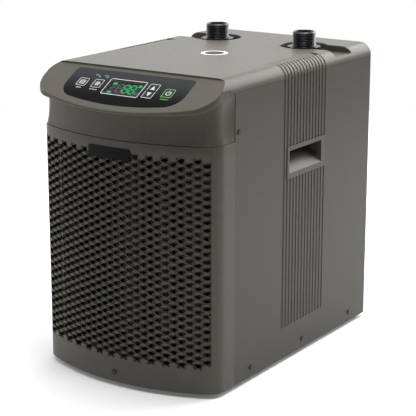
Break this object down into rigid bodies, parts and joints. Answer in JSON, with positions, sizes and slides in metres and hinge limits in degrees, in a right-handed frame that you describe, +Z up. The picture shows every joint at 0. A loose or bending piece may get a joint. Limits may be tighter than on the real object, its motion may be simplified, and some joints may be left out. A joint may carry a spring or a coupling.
{
  "type": "water chiller",
  "caption": "Upright water chiller cabinet with a bowed grille, an overhanging control head, finger pockets in ribbed sides and threaded water stubs on top.",
  "frame": {"origin": "on the floor under the middle of the cabinet's width and depth", "axes": "+Z up, front (grille and control head) towards -Y, +X to the right seen from the front"},
  "size_m": [0.2784, 0.436, 0.428],
  "materials": {
    "cabinet_plastic": "fine matte texture, warm grey",
    "cabinet_sheet": "satin warm grey paint",
    "handle_plastic": "fine matte texture",
    "badge_plate": "glossy, bare",
    "label_film": "satin film",
    "overlay_film": "semi-gloss printed film",
    "display_window": "smoked, glossy",
    "black_plastic": "fine matte",
    "lamp_plastic": "clear lens",
    "key_plastic": "semi-gloss film over a cap",
    "board_laminate": "solder-mask lacquer",
    "screw_steel": "zinc plated",
    "base_sheet": "galvanised grey",
    "foot_rubber": "matte",
    "fitting_plastic": "moulded, satin",
    "seal_rubber": "matte",
    "hose_rubber": "matte, ribbed",
    "fin_coating": "folded fins with a black coating",
    "pipe_metal": null,
    "fan_plastic": "moulded, satin",
    "motor_paint": "semi-gloss",
    "bracket_steel": "zinc plated",
    "compressor_paint": "black stoving paint",
    "tank_plastic": "insulating foam jacket",
    "pin_brass": "nickel over brass"
  },
  "bodies": {
    "cabinet": {"front_grille": "cabinet_plastic", "control_head": "cabinet_plastic", "top_cover": "cabinet_plastic", "right_side_panel": "cabinet_sheet", "left_side_panel": "cabinet_sheet", "rear_panel": "cabinet_sheet", "right_handle_cup": "handle_plastic", "left_handle_cup": "handle_plastic", "badge_plate": "badge_plate", "top_label": "label_film", "control_overlay": "overlay_film", "display_window": "display_window", "display_module": "black_plastic", "indicator_lamps": "lamp_plastic", "control_board": "board_laminate", "board_screws": "screw_steel", "base_pan": "base_sheet", "rubber_feet": "foot_rubber", "foot_screws": "screw_steel", "panel_screws": "screw_steel", "outlet_fitting": "fitting_plastic", "inlet_fitting": "fitting_plastic", "outlet_lock_nut": "fitting_plastic", "inlet_lock_nut": "fitting_plastic", "outlet_seal_ring": "seal_rubber", "inlet_seal_ring": "seal_rubber", "outlet_hose": "hose_rubber", "inlet_hose": "hose_rubber", "hose_clamps": "screw_steel", "condenser_core": "fin_coating", "condenser_bends": "pipe_metal", "condenser_frame": "base_sheet", "fan_shroud": "base_sheet", "fan_motor": "motor_paint", "motor_bracket": "bracket_steel", "compressor_shell": "compressor_paint", "compressor_grommets": "foot_rubber", "compressor_studs": "screw_steel", "terminal_cover": "black_plastic", "evaporator_tank": "tank_plastic", "tank_lid": "tank_plastic", "suction_pipe": "pipe_metal", "discharge_pipe": "pipe_metal", "liquid_pipe": "pipe_metal", "filter_drier": "pipe_metal", "capillary_tube": "pipe_metal", "temperature_probe": "screw_steel", "power_module": "black_plastic", "power_inlet": "black_plastic", "inlet_pins": "pin_brass", "fuse_holder": "black_plastic"},
    "fan": {"fan_blade": "fan_plastic", "fan_shaft": "screw_steel"},
    "set_button": {"set_key": "key_plastic"},
    "boost_button": {"boost_key": "key_plastic"},
    "up_button": {"up_key": "key_plastic"},
    "down_button": {"down_key": "key_plastic"},
    "power_button": {"power_key": "key_plastic"}
  },
  "joints": [
    {"name": "fan_spin", "type": "hinge", "parent": "cabinet", "child": "fan", "pos_m": [0, -0.117, 0.168], "axis": [0, 1, 0], "continuous": true},
    {"name": "set_press", "type": "slide", "parent": "cabinet", "child": "set_button", "axis": [0, 0.5, -0.866], "range_m": [0, 0.0005], "stiffness_N_per_m": 700},
    {"name": "boost_press", "type": "slide", "parent": "cabinet", "child": "boost_button", "axis": [0, 0.5, -0.866], "range_m": [0, 0.0005], "stiffness_N_per_m": 700},
    {"name": "up_press", "type": "slide", "parent": "cabinet", "child": "up_button", "axis": [0, 0.5, -0.866], "range_m": [0, 0.0005], "stiffness_N_per_m": 700},
    {"name": "down_press", "type": "slide", "parent": "cabinet", "child": "down_button", "axis": [0, 0.5, -0.866], "range_m": [0, 0.0005], "stiffness_N_per_m": 700},
    {"name": "power_press", "type": "slide", "parent": "cabinet", "child": "power_button", "axis": [0, 0.5, -0.866], "range_m": [0, 0.0005], "stiffness_N_per_m": 700}
  ]
}
